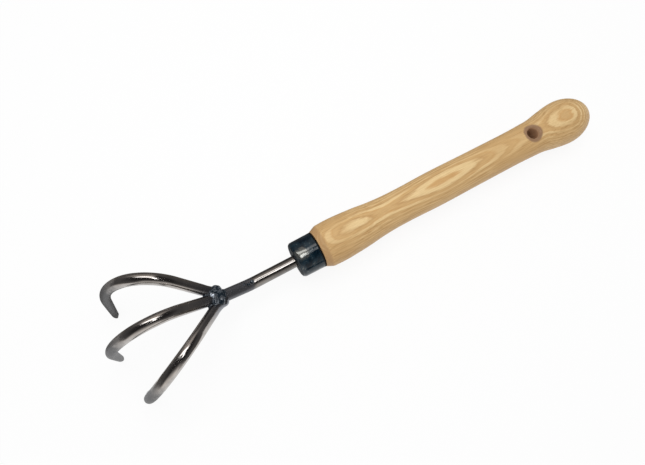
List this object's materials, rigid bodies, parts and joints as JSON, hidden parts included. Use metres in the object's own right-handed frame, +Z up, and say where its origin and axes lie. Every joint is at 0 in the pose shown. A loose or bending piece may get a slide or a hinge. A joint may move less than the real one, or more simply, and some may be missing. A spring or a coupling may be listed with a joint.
{
  "type": "garden hand cultivator",
  "caption": "Short hand cultivator: round steel tines that spread, arch and hook down, welded to a bent neck, a steel ferrule, and a turned ash handle with a bulb end and hang hole.",
  "frame": {"origin": "centre of the bounding box in plan, on the surface that the tool lies on", "axes": "+X along the tool from the tines to the handle's bulb, +Y towards the right tine, +Z up from the surface that the points of the side tines and the bulb rest on"},
  "size_m": [0.3794, 0.0766, 0.0613],
  "materials": {
    "handle_wood": "turned ash, sanded smooth and lightly oiled, with open grain and growth rings",
    "ferrule_steel": "blackened, glossy",
    "neck_steel": "dark, clear coated, satin to glossy",
    "tine_steel": "dark, clear coated, glossy, with ground grey ends",
    "weld_steel": "as welded, dark and glossy"
  },
  "bodies": {
    "root": {"handle": "handle_wood", "ferrule": "ferrule_steel", "neck_rod": "neck_steel", "centre_tine": "tine_steel", "left_tine": "tine_steel", "right_tine": "tine_steel", "weld_bead_top": "weld_steel", "weld_bead_under": "weld_steel"}
  },
  "joints": []
}
